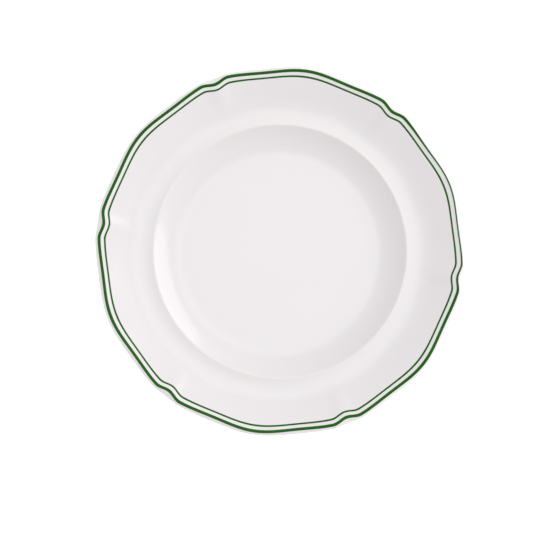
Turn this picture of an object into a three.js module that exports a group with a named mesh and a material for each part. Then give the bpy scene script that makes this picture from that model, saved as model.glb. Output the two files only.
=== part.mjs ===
// A china dinner plate with a six-lobed, notched edge. It is one fired porcelain body, a coat of
// glaze in two separate stretches that the bare foot divides, and two painted enamel bands.
// Millimetres, +Z up. The origin is the middle of the foot on the table, and a notch lies on +X.
import * as THREE from "three";

const { clamp, degToRad, lerp, smoothstep } = THREE.MathUtils;

// Edge: radii and heights are those of the finished, glazed surface at the middle of a panel.
const LIP_RADIUS = 129.3;
const LIP_HEIGHT = 24.2;
const LIP_DEPTH = 4.4; // crest of the lip down to its lower edge
const LIP_ROLL = 2.9; // radius of the rolled top of the lip
const LIP_EDGE = 0.8; // radius of the lip's lower edge

// Contour: six notches, each between two shoulders, with a hollow panel and a corner between them.
const NOTCHES = 6;
const SHOULDER_RISE = 2.5;
const SHOULDER_SPREAD = 16; // degrees from the notch to where the shoulder has died away
const CORNER_RISE = 2.0;
const CORNER_SPREAD = 14; // degrees
const NOTCH_DEPTH = 2.6;
const NOTCH_SPREAD = 4.8; // degrees from the middle of the notch to its end
const LIP_FACE_LOBE = 0.7; // share of the lobes that is left on the lip's outer face
const LIP_FACE_NOTCH = 0.3; // share of the notch that is left there
const PANEL_DISH = 0.25; // how far the rim is dished at the middle of a panel

// Well and rim.
const BASE_RISE = 3.6; // table up to the underside of the well
const BASE_THICKNESS = 4.8;
const WELL_FLOOR_RADIUS = 68;
const WELL_DEPTH = 7.3; // ledge of the rim down to the floor
const VERGE_RADIUS = 89.4; // the edge where the well's wall meets the rim
const VERGE_CREST = 0.5; // how far the verge stands above the ledge
const VERGE_SOFTNESS = 0.6;
const LEDGE_WIDTH = 7.6; // verge out to the lowest circle of the rim
const HOLLOW_WIDTH = 12; // curved stretch of the rim, before it runs straight

// Foot and underside.
const FOOT_SET_IN = 8.7; // verge in to the outside of the foot
const FOOT_WIDTH = 4.2;
const FOOT_ROUND = 0.8;
const COVE_WIDTH = 10.3; // outside of the foot out to the corner under the rim
const COVE_HEIGHT = 10.1; // table up to that corner
const COVE_TOP_ANGLE = 19; // degrees from level, where the cove reaches the corner
const COVE_FOOT_ANGLE = 71; // degrees from level, where it leaves the foot
const UNDERSIDE_SLOPE = 0.18; // rise of the underside for its run, just outside the corner
const BASE_COVE_WIDTH = 6.5; // inside of the foot in to the flat underside
const BASE_COVE_ANGLE = 60; // degrees from level, where it leaves the foot

// Coats.
const GLAZE = 0.25;
const GLAZE_LINE = 1.2; // height above the table where the glaze stops on the foot
const ENAMEL = 0.1;
const BAND_WIDTH = 2.1;
const BAND_SET_IN = 3.3; // outer face of the lip in to the middle of the wide band
const LINE_WIDTH = 1.2;
const LINE_SPACING = 3.7; // middle of the wide band in to the middle of the narrow line

// Fineness of the mesh.
const HALF_SECTOR_STEPS = 6;
const STEP_CROWDING = 1.6; // over 1 draws the steps together at the notches
const HALF_SECTOR = 180 / NOTCHES;

// Sizes that follow from those above.
const floorHeight = BASE_RISE + BASE_THICKNESS;
const ledgeHeight = floorHeight + WELL_DEPTH;
const ledgeRadius = VERGE_RADIUS + LEDGE_WIDTH;
const footRadius = VERGE_RADIUS - FOOT_SET_IN;
const footInnerRadius = footRadius - FOOT_WIDTH;
const baseRadius = footInnerRadius - BASE_COVE_WIDTH;
const bandRadius = LIP_RADIUS - BAND_SET_IN;
const lineRadius = bandRadius - LINE_SPACING;

// The straight stretch of the rim is tangent to the rolled lip.
const rollCentre = new THREE.Vector2(LIP_RADIUS - LIP_ROLL, LIP_HEIGHT - LIP_ROLL);
const hollowWidth = Math.min(HOLLOW_WIDTH, (rollCentre.x - ledgeRadius) / 2);
const straightStart = new THREE.Vector2(ledgeRadius + hollowWidth / 2, ledgeHeight);
const toRoll = rollCentre.clone().sub(straightStart);
const rimAngle = toRoll.angle() + Math.asin(LIP_ROLL / toRoll.length());
const rimSlope = Math.tan(rimAngle);

// A smooth rise and fall: 1 in the middle, 0 at x = 1 and beyond.
function bump(x) {
  return Math.abs(x) < 1 ? 0.5 + 0.5 * Math.cos(Math.PI * x) : 0;
}

// The lesser of two heights, with the edge between them rounded off.
function softMin(a, b, softness) {
  const overlap = Math.max(softness - Math.abs(a - b), 0) / softness;
  return Math.min(a, b) - (overlap * overlap * softness) / 4;
}

// Height of the well's wall, which carries on rising past the verge.
function wallHeight(radius) {
  const out = Math.max(radius - WELL_FLOOR_RADIUS, 0) / (VERGE_RADIUS - WELL_FLOOR_RADIUS);
  return floorHeight + (WELL_DEPTH + VERGE_CREST) * out * out;
}

// Height of the rim inside the lip, which carries on rising inwards past the verge.
function rimHeight(radius) {
  const run = radius - ledgeRadius;
  if (run < 0) return ledgeHeight + VERGE_CREST * (run / LEDGE_WIDTH) ** 2;
  if (run < hollowWidth) return ledgeHeight + (rimSlope * run * run) / (2 * hollowWidth);
  return ledgeHeight + rimSlope * (run - hollowWidth / 2);
}

// Height of the top, from the middle of the well out over the crest of the lip.
function topHeight(radius) {
  const rollRun = radius - rollCentre.x;
  if (rollRun > -LIP_ROLL * Math.sin(rimAngle)) {
    return rollCentre.y + Math.sqrt(LIP_ROLL ** 2 - rollRun ** 2);
  }
  return softMin(wallHeight(radius), rimHeight(radius), VERGE_SOFTNESS);
}

// One circle of the profile. lobe, notch and dish are the shares of the contour that it takes.
function station(radius, height, { lobe = 0, notch = 0, dish = 0, slope = 0, normal = null } = {}) {
  return { radius, height, lobe, notch, dish, slope, normal };
}

// The rim takes up the contour little by little, from the ledge out to the lip.
function rimStation(radius) {
  const out = clamp((radius - ledgeRadius) / (bandRadius - ledgeRadius), 0, 1);
  return station(radius, topHeight(radius), {
    lobe: out ** 1.5,
    notch: smoothstep(out, 0, 1),
    dish: Math.sin(Math.PI * out) ** 2,
    slope: rimSlope,
  });
}

// A circle on the lip's outer side, where the contour softens from the band down to the edge. It
// lies on a round of the lip, at an angle from the top of that round.
function lipStation(centre, round, angle, softened) {
  const around = degToRad(angle);
  return station(centre.x + round * Math.sin(around), centre.y + round * Math.cos(around), {
    lobe: lerp(1, LIP_FACE_LOBE, softened),
    notch: lerp(1, LIP_FACE_NOTCH, softened),
    slope: rimSlope,
  });
}

// Points between two ends of a curve that leaves and arrives at given angles from level.
function curveBetween(start, startAngle, end, endAngle, count) {
  const startSlope = Math.tan(degToRad(startAngle));
  const endSlope = Math.tan(degToRad(endAngle));
  const run = (end.y - start.y + endSlope * (start.x - end.x)) / (startSlope - endSlope);
  const corner = new THREE.Vector2(start.x + run, start.y + startSlope * run);
  return new THREE.QuadraticBezierCurve(start, corner, end).getPoints(count).slice(1, -1);
}

const LEVEL_UP = new THREE.Vector2(0, 1);
const LEVEL_DOWN = new THREE.Vector2(0, -1);
const OUTWARDS = new THREE.Vector2(1, 0);
const INWARDS = new THREE.Vector2(-1, 0);

// The glazed face: from the middle of the well out over the lip and in to the glaze line.
const bandInner = rimStation(bandRadius - BAND_WIDTH / 2);
const bandMiddle = rimStation(bandRadius);
const bandOuter = rimStation(bandRadius + BAND_WIDTH / 2);
const lineInner = rimStation(lineRadius - LINE_WIDTH / 2);
const lineOuter = rimStation(lineRadius + LINE_WIDTH / 2);

const wallRun = VERGE_RADIUS - WELL_FLOOR_RADIUS;
const wallStations = [0.38, 0.68, 0.89, 1].map((share) => {
  const radius = WELL_FLOOR_RADIUS + share * wallRun;
  return station(radius, topHeight(radius));
});
const vergeOuterRadius = VERGE_RADIUS + LEDGE_WIDTH / 4;
const vergeOuter = station(vergeOuterRadius, topHeight(vergeOuterRadius));
const rimStations = [0, 0.25, 0.5].map((share) =>
  rimStation(lerp(ledgeRadius, lineInner.radius, share)));

const edgeCentre = new THREE.Vector2(LIP_RADIUS - LIP_EDGE, LIP_HEIGHT - LIP_DEPTH + LIP_EDGE);
const coveTop = new THREE.Vector2(footRadius + COVE_WIDTH, COVE_HEIGHT);
const undersideRun = edgeCentre.x - coveTop.x;
const undersideRise = LIP_HEIGHT - LIP_DEPTH - COVE_HEIGHT;
const undersideEndSlope = (2 * undersideRise) / undersideRun - UNDERSIDE_SLOPE;

// The underside steepens steadily from the corner over the cove to the lip.
function undersideStation(share) {
  const run = share * undersideRun;
  const steepening = (undersideEndSlope - UNDERSIDE_SLOPE) / (2 * undersideRun);
  return station(coveTop.x + run, coveTop.y + UNDERSIDE_SLOPE * run + steepening * run * run, {
    lobe: LIP_FACE_LOBE * share * share,
    notch: LIP_FACE_NOTCH * share * share,
    slope: rimSlope,
  });
}

const footGlazeEnd = new THREE.Vector2(footRadius, GLAZE_LINE);
const coveStations = curveBetween(coveTop, COVE_TOP_ANGLE, footGlazeEnd, COVE_FOOT_ANGLE, 3)
  .map((point) => station(point.x, point.y));

const faceStations = [
  station(0, floorHeight, { normal: LEVEL_UP }),
  station(WELL_FLOOR_RADIUS, floorHeight, { normal: LEVEL_UP }),
  ...wallStations,
  vergeOuter,
  ...rimStations,
  lineInner,
  lineOuter,
  bandInner,
  bandMiddle,
  bandOuter,
  lipStation(rollCentre, LIP_ROLL, 50, 0.5),
  lipStation(rollCentre, LIP_ROLL, 90, 1),
  lipStation(edgeCentre, LIP_EDGE, 90, 1),
  lipStation(edgeCentre, LIP_EDGE, 160, 1),
  undersideStation(0.72),
  undersideStation(0.36),
  station(coveTop.x, coveTop.y),
  ...coveStations,
  station(footGlazeEnd.x, footGlazeEnd.y, { normal: OUTWARDS }),
];

// The glazed base: from the glaze line inside the foot in to the middle of the underside.
const baseGlazeEnd = new THREE.Vector2(footInnerRadius, GLAZE_LINE);
const baseEdge = new THREE.Vector2(baseRadius, BASE_RISE);
const baseStations = [
  station(baseGlazeEnd.x, baseGlazeEnd.y, { normal: INWARDS }),
  ...curveBetween(baseGlazeEnd, -BASE_COVE_ANGLE, baseEdge, 0, 3).map((p) => station(p.x, p.y)),
  station(baseEdge.x, baseEdge.y, { normal: LEVEL_DOWN }),
  station(0, BASE_RISE, { normal: LEVEL_DOWN }),
];

// A stretch's own normals point out of the plate, square to the line between its neighbours.
function setNormals(stations) {
  stations.forEach((here, i) => {
    if (here.normal) return;
    const before = stations[i - 1];
    const after = stations[i + 1];
    here.normal = new THREE.Vector2(before.height - after.height, after.radius - before.radius);
    here.normal.normalize();
  });
}
setNormals(faceStations);
setNormals(baseStations);

// The azimuths of the mesh, in degrees, with each one's angle from its nearest notch.
const columns = [];
for (let sector = 0; sector < NOTCHES; sector += 1) {
  for (let step = -HALF_SECTOR_STEPS; step < HALF_SECTOR_STEPS; step += 1) {
    const fromNotch = HALF_SECTOR * (Math.abs(step) / HALF_SECTOR_STEPS) ** STEP_CROWDING;
    columns.push({ azimuth: 2 * HALF_SECTOR * sector + Math.sign(step) * fromNotch, fromNotch });
  }
}

// How far the contour stands out beyond its panels.
function lobes(fromNotch) {
  const fromCorner = HALF_SECTOR - fromNotch;
  const shoulder = SHOULDER_RISE * bump(fromNotch / SHOULDER_SPREAD);
  return shoulder + CORNER_RISE * bump(fromCorner / CORNER_SPREAD);
}

// Where a station's circle passes one azimuth, with a coat on it (or, below 0, that far inside).
function pointOn(spot, { azimuth, fromNotch }, coat) {
  const outwards = spot.lobe * lobes(fromNotch);
  const inwards = spot.notch * NOTCH_DEPTH * bump(fromNotch / NOTCH_SPREAD);
  const dished = spot.dish * PANEL_DISH * bump((2 * fromNotch) / HALF_SECTOR - 1);
  const radius = spot.radius + outwards - inwards + coat * spot.normal.x;
  const height = spot.height + spot.slope * outwards - dished + coat * spot.normal.y;
  const around = degToRad(azimuth);
  return new THREE.Vector3(radius * Math.cos(around), radius * Math.sin(around), height);
}

// A ring of the mesh. Its order says which way the faces beside it are split, so that two pieces
// that meet there are split alike and touch without overlapping.
function ring(spot, order, coat) {
  if (spot.radius === 0) return { order, points: [pointOn(spot, columns[0], coat)] };
  return { order, points: columns.map((column) => pointOn(spot, column, coat)) };
}

function rings(stations, firstOrder, coat) {
  return stations.map((spot, i) => ring(spot, firstOrder + i, coat));
}

// A solid's surface, from each ring to the next and from the last one back to the first. A ring of
// one point is a pole on the axis.
function surface(sections) {
  const positions = [];
  const add = (...corners) => corners.forEach((corner) => positions.push(...corner.toArray()));
  sections.forEach((a, i) => {
    const b = sections[(i + 1) % sections.length];
    if (a.points.length === 1 && b.points.length === 1) return;
    columns.forEach((_, j) => {
      const k = (j + 1) % columns.length;
      if (a.points.length === 1) {
        add(a.points[0], b.points[j], b.points[k]);
      } else if (b.points.length === 1) {
        add(a.points[j], b.points[0], a.points[k]);
      } else if (a.order < b.order) {
        add(a.points[j], b.points[j], b.points[k]);
        add(a.points[j], b.points[k], a.points[k]);
      } else {
        add(a.points[j], b.points[j], a.points[k]);
        add(b.points[j], b.points[k], a.points[k]);
      }
    });
  });
  const geometry = new THREE.BufferGeometry();
  geometry.setAttribute("position", new THREE.Float32BufferAttribute(positions, 3));
  geometry.computeVertexNormals();
  return geometry;
}

// A coat over a stretch of the finished profile, from one depth up to another.
function coat(stations, firstOrder, from, to) {
  const outside = rings(stations, firstOrder, to);
  const inside = rings(stations, firstOrder, from).reverse();
  return [...outside, ...inside];
}

// The bare end of the foot, which the glaze leaves free: two rounded sides and a flat between.
function footRings(firstOrder) {
  const outside = footRadius - GLAZE - FOOT_ROUND;
  const inside = footInnerRadius + GLAZE + FOOT_ROUND;
  const corner = FOOT_ROUND * Math.SQRT1_2;
  const profile = [
    [outside + FOOT_ROUND, FOOT_ROUND],
    [outside + corner, FOOT_ROUND - corner],
    [outside, 0],
    [inside, 0],
    [inside - corner, FOOT_ROUND - corner],
    [inside - FOOT_ROUND, FOOT_ROUND],
  ];
  return profile.map(([radius, height], i) =>
    ring(station(radius, height, { normal: LEVEL_DOWN }), firstOrder + i, 0));
}

const baseOrder = 100; // after every ring of the face and the foot
const bodyRings = [
  ...rings(faceStations, 0, -GLAZE),
  ...footRings(faceStations.length),
  ...rings(baseStations, baseOrder, -GLAZE),
];

// A painted band between two stations, lying on the glaze.
function paintedBand(first, last) {
  const from = faceStations.indexOf(first);
  const to = faceStations.indexOf(last);
  return surface(coat(faceStations.slice(from, to + 1), from, 0, ENAMEL));
}

const porcelain = new THREE.MeshStandardMaterial({ color: 0xf2eeea, roughness: 0.6, metalness: 0 });
const glaze = new THREE.MeshStandardMaterial({ color: 0xf6f4f2, roughness: 0.12, metalness: 0 });
const enamel = new THREE.MeshStandardMaterial({ color: 0x0a5a22, roughness: 0.25, metalness: 0 });

const plate = new THREE.Group();

function addPiece(name, geometry, material) {
  const piece = new THREE.Mesh(geometry, material);
  piece.name = name;
  plate.add(piece);
}

addPiece("porcelain_body", surface(bodyRings), porcelain);
addPiece("face_glaze", surface(coat(faceStations, 0, -GLAZE, 0)), glaze);
addPiece("base_glaze", surface(coat(baseStations, baseOrder, -GLAZE, 0)), glaze);
addPiece("wide_green_band", paintedBand(bandInner, bandOuter), enamel);
addPiece("narrow_green_line", paintedBand(lineInner, lineOuter), enamel);

export default plate;
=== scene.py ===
import math
from collections import namedtuple

import bpy
from mathutils import Matrix, Vector


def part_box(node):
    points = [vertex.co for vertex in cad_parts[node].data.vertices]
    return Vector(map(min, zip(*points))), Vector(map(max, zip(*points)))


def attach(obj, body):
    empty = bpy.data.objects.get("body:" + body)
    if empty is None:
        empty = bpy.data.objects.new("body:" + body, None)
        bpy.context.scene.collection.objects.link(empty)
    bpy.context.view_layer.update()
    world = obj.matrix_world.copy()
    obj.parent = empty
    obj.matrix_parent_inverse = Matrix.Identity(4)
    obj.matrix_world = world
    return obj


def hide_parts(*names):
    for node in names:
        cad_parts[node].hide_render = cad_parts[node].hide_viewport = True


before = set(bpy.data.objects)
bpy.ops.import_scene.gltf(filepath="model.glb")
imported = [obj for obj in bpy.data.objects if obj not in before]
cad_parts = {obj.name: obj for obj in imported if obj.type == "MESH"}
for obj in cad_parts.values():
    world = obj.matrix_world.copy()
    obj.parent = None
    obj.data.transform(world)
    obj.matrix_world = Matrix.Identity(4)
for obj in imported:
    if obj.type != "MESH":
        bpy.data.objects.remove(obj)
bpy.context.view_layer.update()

# A china dinner plate with a six-lobed, notched edge: the fired body, its two stretches of glaze,
# and the painted band and line. Everything is in metres, +Z up, with the foot on the floor.

MM = 0.001

# ---------------------------------------------------------------- the plate's driving sizes

LIP_RADIUS = 129.3 * MM
LIP_HEIGHT = 24.2 * MM
LIP_DEPTH = 4.4 * MM
LIP_ROLL = 2.9 * MM
LIP_EDGE = 0.8 * MM
LIP_EDGE_END = 2.8  # radians from straight up to where the lower edge meets the underside

NOTCHES = 6
SHOULDER_RISE = 2.5 * MM
SHOULDER_SPREAD = math.radians(16)
CORNER_RISE = 2.0 * MM
CORNER_SPREAD = math.radians(14)
NOTCH_DEPTH = 2.6 * MM
NOTCH_SPREAD = math.radians(4.8)
LIP_FACE_LOBE = 0.7
LIP_FACE_NOTCH = 0.3
PANEL_DISH = 0.25 * MM

BASE_RISE = 3.6 * MM
BASE_THICKNESS = 4.8 * MM
WELL_FLOOR_RADIUS = 68 * MM
WELL_DEPTH = 7.3 * MM
VERGE_RADIUS = 89.4 * MM
VERGE_CREST = 0.5 * MM
VERGE_SOFTNESS = 0.6 * MM
LEDGE_WIDTH = 7.6 * MM
HOLLOW_WIDTH = 12 * MM

FOOT_SET_IN = 8.7 * MM
FOOT_WIDTH = 4.2 * MM
FOOT_ROUND = 0.8 * MM
COVE_WIDTH = 10.3 * MM
COVE_HEIGHT = 10.1 * MM
COVE_TOP_ANGLE = math.radians(19)
COVE_FOOT_ANGLE = math.radians(71)
COVE_CORNER_ROUND = 1.5 * MM
UNDERSIDE_SLOPE = 0.18  # rise over run where the underside leaves the cove
BASE_COVE_WIDTH = 6.5 * MM
BASE_COVE_ANGLE = math.radians(60)

GLAZE = 0.25 * MM
GLAZE_LINE = 1.2 * MM
ENAMEL = 0.1 * MM
ENAMEL_SUNK = 0.04 * MM  # the enamel melts a little way into the glaze
BAND_WIDTH = 2.1 * MM
BAND_SET_IN = 3.3 * MM
LINE_WIDTH = 1.2 * MM
LINE_SPACING = 3.7 * MM

COLUMNS = 600  # steps round the plate
UNEVENNESS = 0.03 * MM  # how far the fired surface wanders from its true shape
UNEVEN_SCALE = 42  # wanderings to the metre
UNEVEN_SEED = 3.7
WELD = 0.002 * MM
POOL_REACH = 4 * MM  # how far off a bend of the surface still draws molten glaze
POOL_DEPTH = 0.25 * MM  # the sag over that reach at which the glaze lies thickest

floor_height = BASE_RISE + BASE_THICKNESS
ledge_height = floor_height + WELL_DEPTH
ledge_radius = VERGE_RADIUS + LEDGE_WIDTH
foot_radius = VERGE_RADIUS - FOOT_SET_IN
foot_inner_radius = foot_radius - FOOT_WIDTH
base_radius = foot_inner_radius - BASE_COVE_WIDTH
band_radius = LIP_RADIUS - BAND_SET_IN
line_radius = band_radius - LINE_SPACING
roll_centre = Vector((LIP_RADIUS - LIP_ROLL, LIP_HEIGHT - LIP_ROLL))
edge_centre = Vector((LIP_RADIUS - LIP_EDGE, LIP_HEIGHT - LIP_DEPTH + LIP_EDGE))
cove_top = Vector((foot_radius + COVE_WIDTH, COVE_HEIGHT))

# The straight stretch of the rim is tangent to the rolled lip.
to_roll = roll_centre - Vector((ledge_radius + HOLLOW_WIDTH / 2, ledge_height))
rim_angle = math.atan2(to_roll.y, to_roll.x) + math.asin(LIP_ROLL / to_roll.length)
rim_slope = math.tan(rim_angle)

# ---------------------------------------------------------------- the plate's profile

# A point of the profile: where it is, and the shares of the contour that it takes up. pool says
# how thick the molten glaze lay there, from -1 on a sharp crest to 1 in a hollow; free is how far
# the fired shape may wander; across runs from 0 to 1 over a painted band.
Spot = namedtuple("Spot", "radius height lobe notch dish pool free across")
MEASURES = Spot._fields[2:]


def spot(radius, height, lobe=0.0, notch=0.0, dish=0.0, pool=0.0, free=1.0, across=0.5):
    return Spot(radius, height, lobe, notch, dish, pool, free, across)


def place(here):
    return Vector((here.radius, here.height))


def eased(share):
    return share * share * (3 - 2 * share)


def lerp(low, high, share):
    return low + (high - low) * share


def shares(count):
    return [i / count for i in range(count + 1)]


def rim_height(radius):
    run = radius - ledge_radius
    if run < 0:
        return ledge_height + VERGE_CREST * (run / LEDGE_WIDTH) ** 2
    if run < HOLLOW_WIDTH:
        return ledge_height + rim_slope * run * run / (2 * HOLLOW_WIDTH)
    return ledge_height + rim_slope * (run - HOLLOW_WIDTH / 2)


def top_height(radius):
    """Height of the top, from the middle of the well out over the crest of the lip."""
    roll_run = radius - roll_centre.x
    if roll_run > -LIP_ROLL * math.sin(rim_angle):
        return roll_centre.y + math.sqrt(LIP_ROLL**2 - roll_run**2)
    out = max(radius - WELL_FLOOR_RADIUS, 0) / (VERGE_RADIUS - WELL_FLOOR_RADIUS)
    wall = floor_height + (WELL_DEPTH + VERGE_CREST) * out * out
    rim = rim_height(radius)
    overlap = max(VERGE_SOFTNESS - abs(wall - rim), 0) / VERGE_SOFTNESS
    return min(wall, rim) - overlap * overlap * VERGE_SOFTNESS / 4


def top_angle(radius):
    step = 0.05 * MM
    return math.atan2(top_height(radius + step) - top_height(radius - step), 2 * step)


def top_spot(radius):
    """A spot of the well or the rim, which takes up the contour from the ledge out to the lip."""
    out = min(max((radius - ledge_radius) / (band_radius - ledge_radius), 0), 1)
    return spot(
        radius,
        top_height(radius),
        lobe=out**1.5,
        notch=eased(out),
        dish=math.sin(math.pi * out) ** 2,
    )


def lip_spot(centre, rounding, angle, softened):
    """A spot on a round of the lip, where the contour softens from the band to the lower edge."""
    return spot(
        centre.x + rounding * math.sin(angle),
        centre.y + rounding * math.cos(angle),
        lobe=lerp(1, LIP_FACE_LOBE, softened),
        notch=lerp(1, LIP_FACE_NOTCH, softened),
    )


def underside_spot(share):
    """The underside steepens steadily from the corner over the cove to the lip."""
    run_to_lip = edge_centre.x - cove_top.x
    rise = LIP_HEIGHT - LIP_DEPTH - COVE_HEIGHT
    end_slope = 2 * rise / run_to_lip - UNDERSIDE_SLOPE
    run = share * run_to_lip
    steepening = (end_slope - UNDERSIDE_SLOPE) / (2 * run_to_lip)
    height = cove_top.y + UNDERSIDE_SLOPE * run + steepening * run * run
    lobe, notch = LIP_FACE_LOBE * share * share, LIP_FACE_NOTCH * share * share
    return spot(cove_top.x + run, height, lobe=lobe, notch=notch)


def bent(start, corner, end, share):
    """A point on the curve that leaves start towards corner and comes to end from it."""
    return start * (1 - share) ** 2 + corner * 2 * share * (1 - share) + end * share * share


def curve_spots(start, start_angle, end, end_angle, count):
    """Spots between two points, on a curve that leaves and arrives at given angles."""
    start_slope, end_slope = math.tan(start_angle), math.tan(end_angle)
    run = (end.y - start.y + end_slope * (start.x - end.x)) / (start_slope - end_slope)
    corner = Vector((start.x + run, start.y + start_slope * run))
    return [spot(*bent(start, corner, end, t)) for t in shares(count)]


def top_spots(low, high, count):
    return [top_spot(lerp(low, high, t)) for t in shares(count)]


def face_profile():
    """The finished face: out over the well, the rim and the lip, and in below to the foot."""
    roll_start = LIP_ROLL * math.sin(rim_angle)
    crest_end = band_radius + BAND_WIDTH / 2
    crest_angle = math.asin((crest_end - roll_centre.x) / LIP_ROLL)
    right_angle = math.pi / 2
    close, clear = 1.7 * MM, 2 * MM  # how far off the verge its close spots end, and others start
    spots = [spot(0, floor_height), spot(WELL_FLOOR_RADIUS / 2, floor_height)]
    spots += top_spots(WELL_FLOOR_RADIUS, VERGE_RADIUS - clear, 20)
    spots += top_spots(VERGE_RADIUS - close, VERGE_RADIUS + close, 14)
    spots += top_spots(VERGE_RADIUS + clear, roll_centre.x - roll_start, 44)
    spots += top_spots(roll_centre.x - roll_start * 0.8, crest_end, 7)
    for t in shares(12)[1:]:
        spots.append(lip_spot(roll_centre, LIP_ROLL, lerp(crest_angle, right_angle, t), t))
    for t in shares(8):
        spots.append(lip_spot(edge_centre, LIP_EDGE, lerp(right_angle, LIP_EDGE_END, t), 1))
    spots += [underside_spot(1 - t) for t in shares(18)[1:]]
    cove_end = Vector((foot_radius, GLAZE_LINE))
    spots += curve_spots(cove_top, COVE_TOP_ANGLE, cove_end, COVE_FOOT_ANGLE, 14)[1:]
    return rounded(spots, cove_top)


def base_profile():
    """The glazed base, from the glaze line inside the foot in to the middle."""
    start = Vector((foot_inner_radius, GLAZE_LINE))
    end = Vector((base_radius, BASE_RISE))
    spots = curve_spots(start, -BASE_COVE_ANGLE, end, 0, 14)
    return spots + [spot(base_radius / 2, BASE_RISE), spot(0, BASE_RISE)]


def rounded(spots, corner):
    """The profile with its one inward corner eased, as glaze and a damp sponge leave it."""
    kept = [here for here in spots if (place(here) - corner).length > COVE_CORNER_ROUND * 2]
    last_above = max(i for i, here in enumerate(kept) if here.height > corner.y)
    before, after = kept[last_above], kept[last_above + 1]
    round_off = []
    for t in shares(8)[1:-1]:
        point = bent(place(before), corner, place(after), t)
        left = 1 - t
        round_off.append(spot(*point, lobe=before.lobe * left, notch=before.notch * left))
    return kept[: last_above + 1] + round_off + kept[last_above + 1 :]


def outward_normals(spots):
    """The profile's normals, out of the plate, each square to the line between its neighbours."""
    normals = []
    for i, here in enumerate(spots):
        if here.radius == 0:
            up = 1 if here.height > BASE_RISE else -1
            normals.append(Vector((0, up)))
            continue
        before, after = spots[max(i - 1, 0)], spots[min(i + 1, len(spots) - 1)]
        normal = Vector((before.height - after.height, after.radius - before.radius))
        normals.append(normal.normalized())
    return normals


def pooled(spots):
    """The same spots, each with how thick the glaze pooled there, from the bend of the profile."""
    made = []
    for here, normal in zip(spots, outward_normals(spots)):
        near = [
            place(other)
            for other in spots
            if (place(other) - place(here)).length < POOL_REACH
            and abs(other.height - here.height) < POOL_REACH / 2
        ]
        middle = Vector((0, 0))
        for point in near:
            middle += point / len(near)
        sag = (middle - place(here)).dot(normal)
        made.append(here._replace(pool=max(-1, min(1, sag / POOL_DEPTH))))
    return made


def lifted(here, normal, coat):
    """A spot with a coat on it, or that far inside it where coat is below 0."""
    return here._replace(
        radius=max(here.radius + coat * normal.x, 0), height=here.height + coat * normal.y
    )


def raised(spots, normals, coat):
    return [lifted(here, normal, coat) for here, normal in zip(spots, normals)]


def thinned(spots, step):
    """Fewer spots, for a side that nothing shows."""
    return spots[:1] + spots[1:-1][::step] + spots[-1:]


face = pooled(face_profile())
face_normals = outward_normals(face)
base = pooled(base_profile())
base_normals = outward_normals(base)
# At the foot, where both end, the glaze lies against its upright sides.
face_normals[-1] = Vector((1, 0))
base_normals[0] = Vector((-1, 0))


def glaze_end(outer, inner, side):
    """The rounded end of a glaze coat, where it was wiped off above the foot."""
    bulge = Vector((side * GLAZE * 0.15, -GLAZE * 0.4))
    end = (place(outer) + place(inner)) / 2 + bulge
    return outer._replace(radius=end.x, height=end.y)


def face_glaze_section():
    inside = thinned(raised(face, face_normals, -GLAZE), 4)
    return face + [glaze_end(face[-1], inside[-1], 1)] + inside[::-1]


def base_glaze_section():
    inside = thinned(raised(base, base_normals, -GLAZE), 4)
    end = glaze_end(base[0], inside[0], -1)
    return [end] + base + inside[::-1] + [end]


def foot_section():
    """The bare end of the foot: a rounded side, the flat that the plate stands on, and a side."""
    outside = foot_radius - GLAZE - FOOT_ROUND
    inside = foot_inner_radius + GLAZE + FOOT_ROUND
    spots = []
    for t in shares(8):
        turn = t * math.pi / 2
        radius = outside + FOOT_ROUND * math.cos(turn)
        spots.append(spot(radius, FOOT_ROUND * (1 - math.sin(turn)), free=0, pool=-t))
    for t in shares(6)[1:-1]:
        spots.append(spot(lerp(outside, inside, t), 0, free=0, pool=-1))
    for t in shares(8):
        turn = (1 - t) * math.pi / 2
        radius = inside - FOOT_ROUND * math.cos(turn)
        spots.append(spot(radius, FOOT_ROUND * (1 - math.sin(turn)), free=0, pool=t - 1))
    return spots


def body_section():
    above = thinned(raised(face, face_normals, -GLAZE), 2)
    below = raised(base, base_normals, -GLAZE)
    return above + foot_section() + below


def band_section(middle_radius, width):
    """A painted stroke on the glaze, thickest along its middle, with its edges drawn out thin."""
    top, bottom = [], []
    for t in shares(16):
        here = top_spot(middle_radius + (t - 0.5) * width)._replace(across=t)
        angle = top_angle(here.radius)
        normal = Vector((-math.sin(angle), math.cos(angle)))
        film = ENAMEL * (0.12 + 0.88 * (1 - abs(2 * t - 1) ** 5))
        top.append(lifted(here, normal, film))
        bottom.append(lifted(here, normal, -ENAMEL_SUNK))
    return top + thinned(bottom, 4)[::-1] + top[:1]


# ---------------------------------------------------------------- node trees as expressions


class Value:
    """A socket. Used in an expression, it adds the Math nodes that work the expression out."""

    def __init__(self, tree, socket):
        self.tree = tree
        self.socket = socket

    def __add__(self, other):
        return self.tree.math("ADD", self, other)

    def __sub__(self, other):
        return self.tree.math("SUBTRACT", self, other)

    def __rsub__(self, other):
        return self.tree.math("SUBTRACT", other, self)

    def __mul__(self, other):
        return self.tree.math("MULTIPLY", self, other)

    def __truediv__(self, other):
        return self.tree.math("DIVIDE", self, other)

    def __rtruediv__(self, other):
        return self.tree.math("DIVIDE", other, self)

    __radd__ = __add__
    __rmul__ = __mul__


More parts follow.
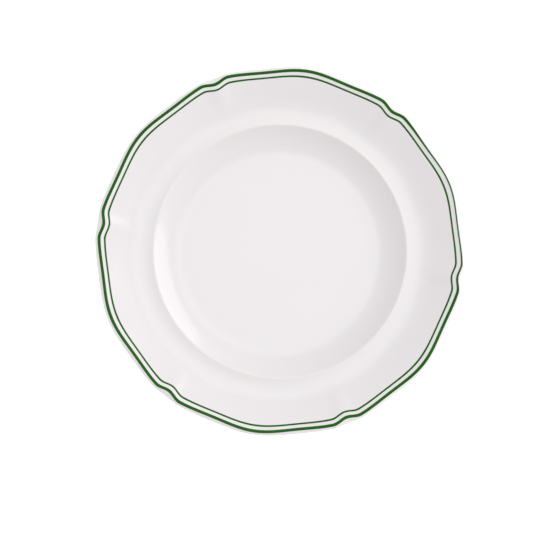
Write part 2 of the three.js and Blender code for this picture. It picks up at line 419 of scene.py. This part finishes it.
class Nodes:
    """A node tree, of a material or of geometry."""

    def __init__(self, tree):
        self.tree = tree

    def node(self, kind, settings=None, **inputs):
        """Any node: its type, its settings, and its sockets' values or links."""
        made = self.tree.nodes.new(kind)
        for name, value in (settings or {}).items():
            setattr(made, name, value)
        for name, value in inputs.items():
            self.feed(made, name.replace("_", " "), value)
        return made

    def feed(self, made, name, value):
        """Sets or links one socket, given by its name or its number."""
        if isinstance(name, int):
            socket = made.inputs[name]
        else:
            socket = next(s for s in made.inputs if s.name.lower() == name.lower() and s.enabled)
        if isinstance(value, Value):
            self.tree.links.new(value.socket, socket)
        else:
            socket.default_value = value

    def out(self, made, name=0):
        if isinstance(name, int):
            return Value(self, made.outputs[name])
        return Value(self, next(s for s in made.outputs if s.name == name and s.enabled))

    def math(self, operation, *values):
        made = self.node("ShaderNodeMath", {"operation": operation})
        for i, value in enumerate(values):
            self.feed(made, i, value)
        return self.out(made)

    def vector_math(self, operation, *values):
        made = self.node("ShaderNodeVectorMath", {"operation": operation})
        for i, value in enumerate(values):
            self.feed(made, i, value)
        return self.out(made, "Value" if operation in ("LENGTH", "DOT_PRODUCT") else "Vector")

    def between(self, share, low, high):
        """0 up to low, 1 from high on, and smooth between."""
        made = self.node("ShaderNodeMapRange", {"interpolation_type": "SMOOTHSTEP"}, Value=share)
        self.feed(made, "From Min", low)
        self.feed(made, "From Max", high)
        return self.out(made)


# ---------------------------------------------------------------- the sweep round the axis

SIZES = {
    "Shoulder Rise": SHOULDER_RISE,
    "Shoulder Spread": SHOULDER_SPREAD,
    "Corner Rise": CORNER_RISE,
    "Corner Spread": CORNER_SPREAD,
    "Notch Depth": NOTCH_DEPTH,
    "Notch Spread": NOTCH_SPREAD,
    "Panel Dish": PANEL_DISH,
    "Rim Slope": rim_slope,
    "Unevenness": UNEVENNESS,
}


def lobed_sweep():
    """The geometry tree: a section turned round the axis and drawn out to the plate's contour."""
    tree = bpy.data.node_groups.new("lobed_sweep", "GeometryNodeTree")
    sockets = tree.interface
    sockets.new_socket(name="Geometry", in_out="OUTPUT", socket_type="NodeSocketGeometry")
    sockets.new_socket(name="Section", in_out="INPUT", socket_type="NodeSocketGeometry")
    sockets.new_socket(name="Finish", in_out="INPUT", socket_type="NodeSocketMaterial")
    sockets.new_socket(name="Columns", in_out="INPUT", socket_type="NodeSocketInt")
    sockets.new_socket(name="Notches", in_out="INPUT", socket_type="NodeSocketInt")
    for name in SIZES:
        sockets.new_socket(name=name, in_out="INPUT", socket_type="NodeSocketFloat")

    nodes = Nodes(tree)
    given = nodes.node("NodeGroupInput")
    size = {socket.name: Value(nodes, socket) for socket in given.outputs if socket.name}

    count = nodes.node("GeometryNodeAttributeDomainSize", Geometry=size["Section"])
    along = size["Columns"] + 1
    grid = nodes.node(
        "GeometryNodeMeshGrid",
        Vertices_X=nodes.out(count, "Point Count"),
        Vertices_Y=along,
    )
    index = nodes.out(nodes.node("GeometryNodeInputIndex"))
    row = nodes.math("FLOOR", (index + 0.5) / along)
    turn = (index - row * along) / size["Columns"]

    def measured(value, kind):
        taken = nodes.node("GeometryNodeSampleIndex", {"data_type": kind})
        nodes.feed(taken, "Geometry", size["Section"])
        nodes.feed(taken, "Value", value)
        nodes.feed(taken, "Index", row)
        return nodes.out(taken, "Value")

    position = nodes.out(nodes.node("GeometryNodeInputPosition"))
    profile = nodes.node("ShaderNodeSeparateXYZ", Vector=measured(position, "FLOAT_VECTOR"))
    measure = {}
    for name in MEASURES:
        named = nodes.node("GeometryNodeInputNamedAttribute", {"data_type": "FLOAT"}, Name=name)
        measure[name] = measured(nodes.out(named, "Attribute"), "FLOAT")

    def bump(x):
        inside = nodes.math("MINIMUM", nodes.math("ABSOLUTE", x), 1)
        return 0.5 + 0.5 * nodes.math("COSINE", inside * math.pi)

    # The angle from the nearest notch, and from it the contour.
    in_sector = nodes.math("FRACT", turn * size["Notches"] + 0.5) - 0.5
    half_sector = math.pi / size["Notches"]
    from_notch = nodes.math("ABSOLUTE", in_sector) * half_sector * 2
    shoulder = size["Shoulder Rise"] * bump(from_notch / size["Shoulder Spread"])
    corner = size["Corner Rise"] * bump((half_sector - from_notch) / size["Corner Spread"])
    outwards = measure["lobe"] * (shoulder + corner)
    inwards = measure["notch"] * size["Notch Depth"] * bump(from_notch / size["Notch Spread"])
    dished = measure["dish"] * size["Panel Dish"] * bump(2 * from_notch / half_sector - 1)
    radius = nodes.out(profile, "X") + outwards - inwards
    on_axis = nodes.math("GREATER_THAN", nodes.out(profile, "X"), WELD)
    height = nodes.out(profile, "Z") + size["Rim Slope"] * outwards - dished

    around = turn * math.tau
    x = on_axis * radius * nodes.math("COSINE", around)
    y = on_axis * radius * nodes.math("SINE", around)
    wander = nodes.node(
        "ShaderNodeTexNoise",
        {"noise_dimensions": "4D"},
        Vector=nodes.out(nodes.node("ShaderNodeCombineXYZ", X=x, Y=y)),
        W=UNEVEN_SEED,
        Scale=UNEVEN_SCALE,
        Detail=1.0,
    )
    uneven = (nodes.out(wander, 0) - 0.5) * 2 * size["Unevenness"] * measure["free"]
    final = nodes.node("ShaderNodeCombineXYZ", X=x, Y=y, Z=height + uneven)

    shape = nodes.node(
        "GeometryNodeSetPosition", Geometry=nodes.out(grid, "Mesh"), Position=nodes.out(final)
    )
    for name in ("pool", "across"):
        shape = nodes.node(
            "GeometryNodeStoreNamedAttribute",
            {"data_type": "FLOAT", "domain": "POINT"},
            Geometry=nodes.out(shape),
            Name=name,
            Value=measure[name],
        )
    shape = nodes.node("GeometryNodeMergeByDistance", Geometry=nodes.out(shape), Distance=WELD)
    shape = nodes.node("GeometryNodeSetShadeSmooth", Geometry=nodes.out(shape))
    shape = nodes.node("GeometryNodeRealizeInstances", Geometry=nodes.out(shape))
    shape = nodes.node(
        "GeometryNodeSetMaterial", Geometry=nodes.out(shape), Material=size["Finish"]
    )
    end = nodes.node("NodeGroupOutput")
    nodes.feed(end, "Geometry", nodes.out(shape))
    return tree


def swept_piece(name, section, finish, tree):
    """One solid of the plate, from its section."""
    mesh = bpy.data.meshes.new(name + "_section")
    mesh.from_pydata([(s.radius, 0, s.height) for s in section], [], [])
    for measure in MEASURES:
        attribute = mesh.attributes.new(measure, "FLOAT", "POINT")
        attribute.data.foreach_set("value", [getattr(s, measure) for s in section])
    piece = bpy.data.objects.new(name, mesh)
    bpy.context.scene.collection.objects.link(piece)

    sweep = piece.modifiers.new("sweep", "NODES")
    sweep.node_group = tree
    values = {**SIZES, "Finish": finish, "Columns": COLUMNS, "Notches": NOTCHES}
    for item in tree.interface.items_tree:
        if item.in_out == "INPUT" and item.name in values:
            sweep[item.identifier] = values[item.name]
    shown = piece.evaluated_get(bpy.context.evaluated_depsgraph_get())
    swept = bpy.data.meshes.new_from_object(shown)
    swept.name = name
    piece.modifiers.remove(sweep)
    piece.data = swept
    bpy.data.meshes.remove(mesh)
    return piece


# ---------------------------------------------------------------- finishes


class Finish(Nodes):
    """A material's tree, with its Principled shader ready to feed."""

    def __init__(self, name):
        self.material = bpy.data.materials.new(name)
        self.material.use_nodes = True
        super().__init__(self.material.node_tree)
        self.tree.nodes.clear()
        self.shader = self.node("ShaderNodeBsdfPrincipled")
        self.output = self.node("ShaderNodeOutputMaterial", Surface=self.out(self.shader))
        self.place = self.out(self.node("ShaderNodeTexCoord"), "Object")

    def noise(self, scale, detail=2.0, vector=None):
        made = self.node(
            "ShaderNodeTexNoise", Vector=vector or self.place, Scale=scale, Detail=detail
        )
        return self.out(made, 0)

    def measure(self, name):
        made = self.node("ShaderNodeAttribute", {"attribute_name": name})
        return self.out(made, "Fac")

    def mix(self, share, low, high):
        """A colour between two colours."""
        low, high = (c if isinstance(c, Value) else (*c, 1) for c in (low, high))
        made = self.node("ShaderNodeMix", {"data_type": "RGBA"}, Factor=share, A=low, B=high)
        return self.out(made, "Result")

    def cells(self, scale):
        """The distance from the middle of the nearest of many scattered cells."""
        made = self.node("ShaderNodeTexVoronoi", Vector=self.place, Scale=scale)
        return self.out(made, "Distance")

    def bumped(self, height, distance, strength):
        made = self.node("ShaderNodeBump", Strength=strength, Distance=distance, Height=height)
        self.feed(self.shader, "Normal", self.out(made))

    def give(self, **values):
        """Feeds the shader's sockets."""
        for name, value in values.items():
            self.feed(self.shader, name.replace("_", " "), value)


# Features to the metre.
CLOUDS = 26
SPECKS = 55
SPECK_GROUPS = 19
SMEARS = 60
PEEL = 240
PITS = 170
PIT_GROUPS = 33
PAINT_LOAD = 28
PAINT_GRAIN = 420
BRUSH_HAIRS = (7, 9)  # round the plate, and across a stroke
CLAY_GRAIN = 1900
CLAY_PATCHES = 70

HIGHLIGHT_TURN = math.radians(24)  # where a painted highlight washes the wide band pale, on the side facing the key light, round from +X
HIGHLIGHT_REACH = (0.78, 1.0)  # cosines of how far from there the painted highlight reaches, and where it is strongest
HIGHLIGHT_EDGE = 0.35  # share of half a stroke over which the painted highlight's edge fades
BAND_HIGHLIGHT = 0.7  # how much narrower the painted highlight leaves the wide band there


def white_glaze():
    """Clear glaze over white china: cooler where it pooled, warmer where it ran thin."""
    finish = Finish("white_glaze")
    pool = finish.measure("pool")
    cloud = finish.noise(CLOUDS, 3)
    white, cool, warm = (0.845, 0.811, 0.819), (0.80, 0.782, 0.792), (0.842, 0.812, 0.81)
    dull, iron = (0.825, 0.798, 0.805), (0.55, 0.48, 0.40)
    color = finish.mix(finish.between(pool, 0.15, 1) * 0.7, white, cool)
    color = finish.mix(finish.between(0 - pool, 0.2, 1) * 0.4, color, warm)
    color = finish.mix(finish.between(cloud, 0.45, 0.75) * 0.35, color, dull)
    # A few faint specks, where iron in the clay fired through.
    dot = finish.between(finish.cells(SPECKS), 0.014, 0.006)
    rare = finish.between(finish.noise(SPECK_GROUPS, 0), 0.60, 0.64)
    color = finish.mix(dot * rare * 0.30, color, iron)
    smear = finish.noise(SMEARS, 2)
    finish.give(Base_Color=color, Roughness=0.16 + 0.08 * smear, Specular_IOR_Level=0.1)
    finish.give(Coat_Weight=0.85 + 0.15 * cloud, Coat_Roughness=0.13, Coat_IOR=1.5)
    # Orange peel, and pits in a few places.
    peel = finish.noise(PEEL, 2)
    smooth = finish.between(finish.cells(PITS), 0.03, 0.09)
    few = finish.between(finish.noise(PIT_GROUPS, 0), 0.58, 0.66)
    finish.bumped(peel * 0.35 + (1 - few * (1 - smooth)) * 0.6, 0.03 * MM, 0.6)
    return finish.material


def green_enamel(name, painted_highlight):
    """Fired green paint: deep along the stroke's middle, thinner at its edges and brush marks.

    The last argument, from 0 to 1, is how much narrower and paler the stroke is painted on the
    side facing the key light: a painted highlight.
    """
    finish = Finish(name)
    across = finish.measure("across")
    off_middle = finish.math("ABSOLUTE", across - 0.5) * 2
    flat = finish.vector_math("MULTIPLY", finish.place, (1, 1, 0))
    heading = finish.node("ShaderNodeSeparateXYZ", Vector=finish.vector_math("NORMALIZE", flat))
    x, y = finish.out(heading, "X"), finish.out(heading, "Y")
    round_hairs, cross_hairs = BRUSH_HAIRS
    stroke = finish.node(
        "ShaderNodeCombineXYZ", X=x * round_hairs, Y=y * round_hairs, Z=across * cross_hairs
    )
    hairs = finish.noise(1, 2, vector=finish.out(stroke))
    load = finish.noise(PAINT_LOAD, 2)
    deep, mid, thin = (0.008, 0.092, 0.0005), (0.014, 0.138, 0.002), (0.05, 0.26, 0.03)
    glaze = (0.83, 0.82, 0.80)
    color = finish.mix(finish.between(hairs, 0.42, 0.72) * 0.6, deep, mid)
    color = finish.mix(finish.between(load, 0.5, 0.8) * 0.45, color, mid)
    color = finish.mix(finish.between(off_middle, 0.62, 1.0) * 0.35, color, thin)
    # Painted highlight: on the side facing the key light, the wide band is washed to the glaze's
    # white from its edges in, so it looks narrower and paler.
    towards_highlight = x * math.cos(HIGHLIGHT_TURN) + y * math.sin(HIGHLIGHT_TURN)
    kept = 1 - painted_highlight * finish.between(towards_highlight, *HIGHLIGHT_REACH)
    color = finish.mix(finish.between(off_middle, kept, kept + HIGHLIGHT_EDGE), color, glaze)
    finish.give(Base_Color=color, Roughness=0.28 + 0.14 * hairs, Specular_IOR_Level=0.1)
    finish.give(Coat_Weight=0.1 + 0.1 * load, Coat_Roughness=0.12)
    finish.bumped(hairs * 0.7 + finish.noise(PAINT_GRAIN, 1) * 0.3, 0.02 * MM, 0.7)
    return finish.material


def bare_porcelain():
    """Unglazed china at the foot: matt, fine-grained, and greyed where it rubs on the table."""
    finish = Finish("bare_porcelain")
    rubbed = finish.between(0 - finish.measure("pool"), 0.7, 1.0)
    grain = finish.noise(CLAY_GRAIN, 3)
    patches = finish.noise(CLAY_PATCHES, 3)
    clay, sandy, grey = (0.74, 0.71, 0.66), (0.70, 0.655, 0.59), (0.56, 0.54, 0.51)
    color = finish.mix(finish.between(patches, 0.4, 0.7) * 0.7, clay, sandy)
    color = finish.mix(rubbed * finish.between(grain, 0.4, 0.65) * 0.6, color, grey)
    finish.give(Base_Color=color, Roughness=0.72 - 0.18 * rubbed + 0.1 * grain, IOR=1.5)
    finish.bumped(grain, 0.06 * MM, 0.8)
    return finish.material


# ---------------------------------------------------------------- the pieces

sweep_tree = lobed_sweep()
glaze_finish, clay_finish = white_glaze(), bare_porcelain()
band_finish = green_enamel("wide_band_enamel", BAND_HIGHLIGHT)
line_finish = green_enamel("narrow_line_enamel", 0)
band, line = band_section(band_radius, BAND_WIDTH), band_section(line_radius, LINE_WIDTH)

# Each piece's name, the node that it replaces, its slot, its section and its finish.
PIECES = [
    ("plate_body", "porcelain_body", "porcelain", body_section(), clay_finish),
    ("plate_face_glaze", "face_glaze", "white_glaze", face_glaze_section(), glaze_finish),
    ("plate_base_glaze", "base_glaze", "white_glaze", base_glaze_section(), glaze_finish),
    ("wide_band", "wide_green_band", "green_enamel", band, band_finish),
    ("narrow_line", "narrow_green_line", "green_enamel", line, line_finish),
]
for name, node, slot, section, finish in PIECES:
    piece = swept_piece(name, section, finish, sweep_tree)
    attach(piece, "root")
    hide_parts(node)

# ---------------------------------------------------------------- floor, light and camera

FLOOR_SIZE = 6
FLOOR_WHITE = 0.82
FLOOR_GLOW = 0.5
GLOW_UNDER_FOOT = 0.4  # shares of the glow
GLOW_FAR_OUT = 0.45
SHADOW_FILL_RISE = (110 * MM, 135 * MM)  # from the axis, where the glow comes up round the plate: painted light that fills in the plate's cast shadow
SHADOW_FILL_FALL = (135 * MM, 210 * MM)  # and where that painted light falls off again

WORLD_LIGHT = 0.745
HORIZON_LIGHT = 1
HORIZON_BAND = (0.10, 0.30)  # heights on the sky's sphere between which it falls off
OVERHEAD_LIGHT = 1.3  # a soft patch of sky, added to the rest
OVERHEAD_TURN = math.radians(53)
OVERHEAD_RISE = math.radians(78)
OVERHEAD_EDGE = (math.cos(math.radians(23)), math.cos(math.radians(3)))  # none, and the whole

KEY_TURN = math.radians(28)  # where the key light stands, round from +X
KEY_RISE = math.radians(24)
KEY_DISTANCE = 1.8
KEY_SIZE = 1.8
KEY_POWER = 13.4

CAMERA_DISTANCE = 2
CAMERA_ROLL = math.radians(8.5)  # the view's right, round from +X
CAMERA_TILT = math.radians(3.2)  # off the plate's axis
CAMERA_TILT_TOWARDS = math.radians(225)  # in the view, round from its right
CAMERA_CLIP = (0.1, 20)
VIEW_WIDTH = 393.8 * MM  # what the camera sees across, at the rim
PLATE_RIGHT = 0.6 * MM  # the rim's middle, from the middle of the view
PLATE_UP = 20.6 * MM
SENSOR = 36  # in millimetres, as the lens is


def direction(turn, rise):
    flat = math.cos(rise)
    return Vector((flat * math.cos(turn), flat * math.sin(turn), math.sin(rise)))


def grey(level):
    return (level, level, level)


def pale_floor():
    half = FLOOR_SIZE / 2
    mesh = bpy.data.meshes.new("floor")
    corners = [(-half, -half, 0), (half, -half, 0), (half, half, 0), (-half, half, 0)]
    mesh.from_pydata(corners, [], [(0, 1, 2, 3)])
    floor = bpy.data.objects.new("floor", mesh)
    bpy.context.scene.collection.objects.link(floor)

    finish = Finish("pale_floor")
    away = finish.vector_math("LENGTH", finish.place)
    # Painted light: the floor glows brighter in a ring round the plate's edge, filling in the
    # shadow that the plate casts, and glows less under the plate.
    shadow_fill_glow = finish.mix(finish.between(away, *SHADOW_FILL_RISE), grey(GLOW_UNDER_FOOT), grey(1))
    shadow_fill_glow = finish.mix(finish.between(away, *SHADOW_FILL_FALL), shadow_fill_glow, grey(GLOW_FAR_OUT))
    finish.give(Base_Color=(*grey(FLOOR_WHITE), 1), Roughness=0.9)
    finish.give(Emission_Color=shadow_fill_glow, Emission_Strength=FLOOR_GLOW)
    # From below, the floor is clear, so that the plate's base can be seen.
    either = finish.node("ShaderNodeMixShader")
    finish.feed(either, 0, finish.out(finish.node("ShaderNodeNewGeometry"), "Backfacing"))
    finish.feed(either, 1, finish.out(finish.shader))
    finish.feed(either, 2, finish.out(finish.node("ShaderNodeBsdfTransparent")))
    finish.feed(finish.output, "Surface", finish.out(either))
    mesh.materials.append(finish.material)


def soft_light():
    """A pale sky, brighter low down and in one patch overhead, and a wide key light."""
    world = bpy.data.worlds.new("studio")
    world.use_nodes = True
    room = Nodes(world.node_tree)
    heading = room.out(room.node("ShaderNodeTexCoord"), "Generated")
    height = room.out(room.node("ShaderNodeSeparateXYZ", Vector=heading), "Z")
    high_up = room.between(height, *HORIZON_BAND)
    sky = HORIZON_LIGHT + high_up * (WORLD_LIGHT - HORIZON_LIGHT)
    patch_middle = direction(OVERHEAD_TURN, OVERHEAD_RISE)
    near_patch = room.vector_math("DOT_PRODUCT", heading, patch_middle)
    overhead = room.between(near_patch, *OVERHEAD_EDGE) * OVERHEAD_LIGHT
    background = world.node_tree.nodes["Background"]
    room.feed(background, "Color", (1, 1, 1, 1))
    room.feed(background, "Strength", sky + overhead)
    bpy.context.scene.world = world

    lamp = bpy.data.lights.new("key_light", "AREA")
    lamp.shape = "DISK"
    lamp.size = KEY_SIZE
    lamp.energy = KEY_POWER
    key = bpy.data.objects.new("key_light", lamp)
    key.location = direction(KEY_TURN, KEY_RISE) * KEY_DISTANCE
    key.rotation_euler = (-key.location).to_track_quat("-Z", "Y").to_euler()
    bpy.context.scene.collection.objects.link(key)


def overhead_camera():
    """Looks down near the plate's axis, tilted a little, with the plate off its middle."""
    camera = bpy.data.cameras.new("camera")
    camera.sensor_width = SENSOR
    camera.lens = SENSOR * CAMERA_DISTANCE / VIEW_WIDTH
    camera.clip_start, camera.clip_end = CAMERA_CLIP
    seen = bpy.data.objects.new("camera", camera)
    right = direction(CAMERA_ROLL, 0)
    up = direction(CAMERA_ROLL + math.pi / 2, 0)
    towards = direction(CAMERA_ROLL + CAMERA_TILT_TOWARDS, math.pi / 2 - CAMERA_TILT)
    rim_middle = Vector((0, 0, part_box("wide_green_band")[1][2]))
    aim = rim_middle - right * PLATE_RIGHT - up * PLATE_UP
    seen.location = rim_middle + towards * CAMERA_DISTANCE
    back = (seen.location - aim).normalized()
    side = up.cross(back).normalized()
    turned = Matrix((side, back.cross(side), back)).transposed()
    seen.rotation_mode = "QUATERNION"
    seen.rotation_quaternion = turned.to_quaternion()
    bpy.context.scene.collection.objects.link(seen)
    bpy.context.scene.camera = seen


pale_floor()
soft_light()
overhead_camera()
bpy.context.scene.view_settings.view_transform = "Standard"
